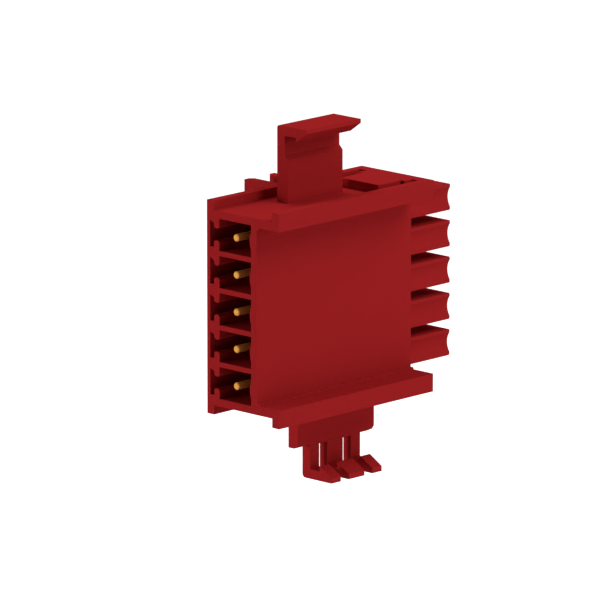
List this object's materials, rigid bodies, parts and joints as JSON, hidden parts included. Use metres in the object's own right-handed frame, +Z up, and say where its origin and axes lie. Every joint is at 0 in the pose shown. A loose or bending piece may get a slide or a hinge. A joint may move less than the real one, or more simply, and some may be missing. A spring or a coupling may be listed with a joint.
{
  "type": "rail bus connector",
  "caption": "Red rail-mounted bus connector with keyed pin header, socket fingers, a hook and a slotted foot for a top-hat rail.",
  "frame": {"origin": "front plane of the rail's flanges, halfway between their outer edges, at the middle of the module's width", "axes": "+X along the rail from the pin header to the socket fingers, +Y away from the rail towards the device, +Z up"},
  "size_m": [0.0293, 0.0141, 0.037],
  "materials": {
    "red_moulding": "satin moulded",
    "gold_contact": "gold plated"
  },
  "bodies": {
    "root": {"housing": "red_moulding", "socket_comb": "red_moulding", "bus_pin_1": "gold_contact", "bus_pin_2": "gold_contact", "bus_pin_3": "gold_contact", "bus_pin_4": "gold_contact", "bus_pin_5": "gold_contact", "bus_socket_1": "gold_contact", "bus_socket_2": "gold_contact", "bus_socket_3": "gold_contact", "bus_socket_4": "gold_contact", "bus_socket_5": "gold_contact", "device_spring_1": "gold_contact", "device_spring_2": "gold_contact", "device_spring_3": "gold_contact", "device_spring_4": "gold_contact", "device_spring_5": "gold_contact"}
  },
  "joints": []
}
